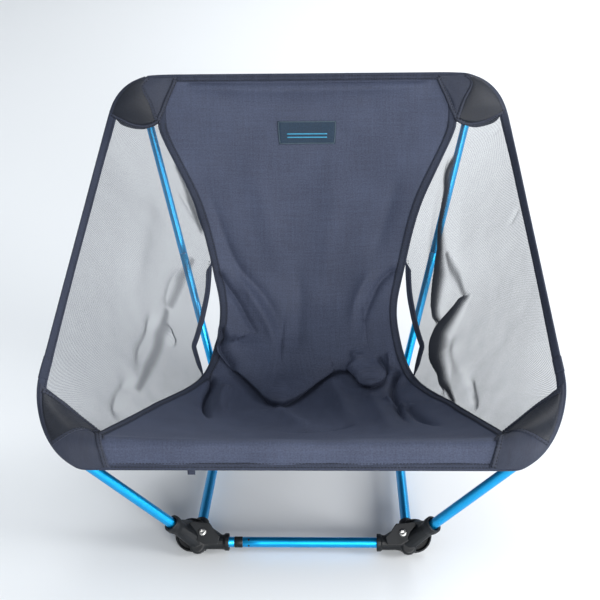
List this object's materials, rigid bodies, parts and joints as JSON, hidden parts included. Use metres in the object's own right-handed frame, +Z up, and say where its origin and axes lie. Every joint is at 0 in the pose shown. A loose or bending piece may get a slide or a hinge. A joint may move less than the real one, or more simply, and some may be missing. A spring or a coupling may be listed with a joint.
{
  "type": "ultralight backpacking chair",
  "caption": "Low folding camp chair: a dark fabric bucket seat with mesh sides hung from four leaning blue tube poles on plastic corner hubs joined by a tube base.",
  "frame": {"origin": "on the floor, under the centre of the chair's overall box", "axes": "+X to the right of someone facing the front of the chair, +Y to the chair's back, +Z up"},
  "size_m": [0.5774, 0.4866, 0.4444],
  "materials": {
    "blue_tube": "blue anodised, glossy",
    "bare_aluminium": "bare, satin",
    "screw_steel": "bright",
    "hub_plastic": "moulded, fine grain",
    "tip_plastic": "moulded",
    "band_plastic": "satin",
    "elastic_cord": "braided sleeve",
    "seat_fabric": "coated plain weave, slight sheen",
    "patch_fabric": "heavier plain weave",
    "side_mesh": "open knitted mesh",
    "binding_tape": "ribbed woven tape",
    "woven_label": "woven satin label"
  },
  "bodies": {
    "base_right": {"hub_front_right_body": "hub_plastic", "hub_front_right_cap": "hub_plastic", "hub_front_right_screw": "screw_steel", "side_bar_right": "blue_tube", "front_crossbar": "blue_tube", "front_crossbar_band": "band_plastic", "front_crossbar_ferrule": "bare_aluminium", "front_crossbar_cord": "elastic_cord", "front_pole_right_cord": "elastic_cord"},
    "base_left": {"hub_front_left_body": "hub_plastic", "hub_front_left_cap": "hub_plastic", "hub_front_left_screw": "screw_steel", "side_bar_left": "blue_tube", "front_crossbar_stub": "blue_tube", "front_pole_left_cord": "elastic_cord"},
    "rear_hub_right": {"hub_rear_right_body": "hub_plastic", "hub_rear_right_cap": "hub_plastic", "hub_rear_right_screw": "screw_steel", "rear_crossbar": "blue_tube", "rear_crossbar_band": "band_plastic", "rear_crossbar_ferrule": "bare_aluminium", "rear_crossbar_cord": "elastic_cord", "back_pole_right_cord": "elastic_cord"},
    "rear_hub_left": {"hub_rear_left_body": "hub_plastic", "hub_rear_left_cap": "hub_plastic", "hub_rear_left_screw": "screw_steel", "rear_crossbar_stub": "blue_tube", "back_pole_left_cord": "elastic_cord"},
    "front_pole_right": {"front_pole_right": "blue_tube", "front_pole_right_tip": "tip_plastic"},
    "front_pole_left": {"front_pole_left": "blue_tube", "front_pole_left_tip": "tip_plastic"},
    "back_pole_right_lower": {"back_pole_right_lower": "blue_tube", "back_pole_right_ferrule": "bare_aluminium"},
    "back_pole_right_upper": {"back_pole_right_upper": "blue_tube", "back_pole_right_tip": "tip_plastic"},
    "back_pole_left_lower": {"back_pole_left_lower": "blue_tube", "back_pole_left_ferrule": "bare_aluminium"},
    "back_pole_left_upper": {"back_pole_left_upper": "blue_tube", "back_pole_left_tip": "tip_plastic"},
    "seat": {"seat_centre_panel": "seat_fabric", "seat_mesh_left": "side_mesh", "seat_mesh_right": "side_mesh", "seat_patch_top_left": "patch_fabric", "seat_patch_top_right": "patch_fabric", "seat_patch_front_left": "patch_fabric", "seat_patch_front_right": "patch_fabric", "seat_edge_left": "binding_tape", "seat_edge_right": "binding_tape", "seat_top_hem": "binding_tape", "seat_front_hem": "binding_tape", "seat_label": "woven_label"}
  },
  "joints": [
    {"name": "seat_lift_off", "type": "slide", "parent": "base_right", "child": "seat", "axis": [0, 0, 1], "range_m": [0, 0.25]},
    {"name": "front_pole_right_pull", "type": "slide", "parent": "base_right", "child": "front_pole_right", "axis": [0.6156, -0.2208, 0.7565], "range_m": [0, 0.029]},
    {"name": "front_pole_left_pull", "type": "slide", "parent": "base_left", "child": "front_pole_left", "axis": [-0.6156, -0.2208, 0.7565], "range_m": [0, 0.029]},
    {"name": "back_pole_right_pull", "type": "slide", "parent": "rear_hub_right", "child": "back_pole_right_lower", "axis": [0.2311, 0.3104, 0.9221], "range_m": [0, 0.029]},
    {"name": "back_pole_left_pull", "type": "slide", "parent": "rear_hub_left", "child": "back_pole_left_lower", "axis": [-0.2311, 0.3104, 0.9221], "range_m": [0, 0.029]},
    {"name": "back_pole_right_joint_pull", "type": "slide", "parent": "back_pole_right_lower", "child": "back_pole_right_upper", "axis": [0.2311, 0.3104, 0.9221], "range_m": [0, 0.03]},
    {"name": "back_pole_left_joint_pull", "type": "slide", "parent": "back_pole_left_lower", "child": "back_pole_left_upper", "axis": [-0.2311, 0.3104, 0.9221], "range_m": [0, 0.03]},
    {"name": "crossbars_pull", "type": "slide", "parent": "base_right", "child": "base_left", "axis": [-1, 0, 0], "range_m": [0, 0.03]},
    {"name": "side_bar_right_pull", "type": "slide", "parent": "base_right", "child": "rear_hub_right", "axis": [-0.025, 0.9997, 0], "range_m": [0, 0.024]},
    {"name": "side_bar_left_pull", "type": "slide", "parent": "base_left", "child": "rear_hub_left", "axis": [0.025, 0.9997, 0], "range_m": [0, 0.024]}
  ],
  "couplings": [
    {"joint": "front_pole_right_pull", "follows": "seat_lift_off", "ratio": 0.116},
    {"joint": "front_pole_left_pull", "follows": "seat_lift_off", "ratio": 0.116},
    {"joint": "back_pole_right_pull", "follows": "seat_lift_off", "ratio": 0.116},
    {"joint": "back_pole_left_pull", "follows": "seat_lift_off", "ratio": 0.116},
    {"joint": "back_pole_right_joint_pull", "follows": "seat_lift_off", "ratio": 0.12},
    {"joint": "back_pole_left_joint_pull", "follows": "seat_lift_off", "ratio": 0.12},
    {"joint": "crossbars_pull", "follows": "seat_lift_off", "ratio": 0.12},
    {"joint": "side_bar_right_pull", "follows": "seat_lift_off", "ratio": 0.096},
    {"joint": "side_bar_left_pull", "follows": "seat_lift_off", "ratio": 0.096}
  ]
}
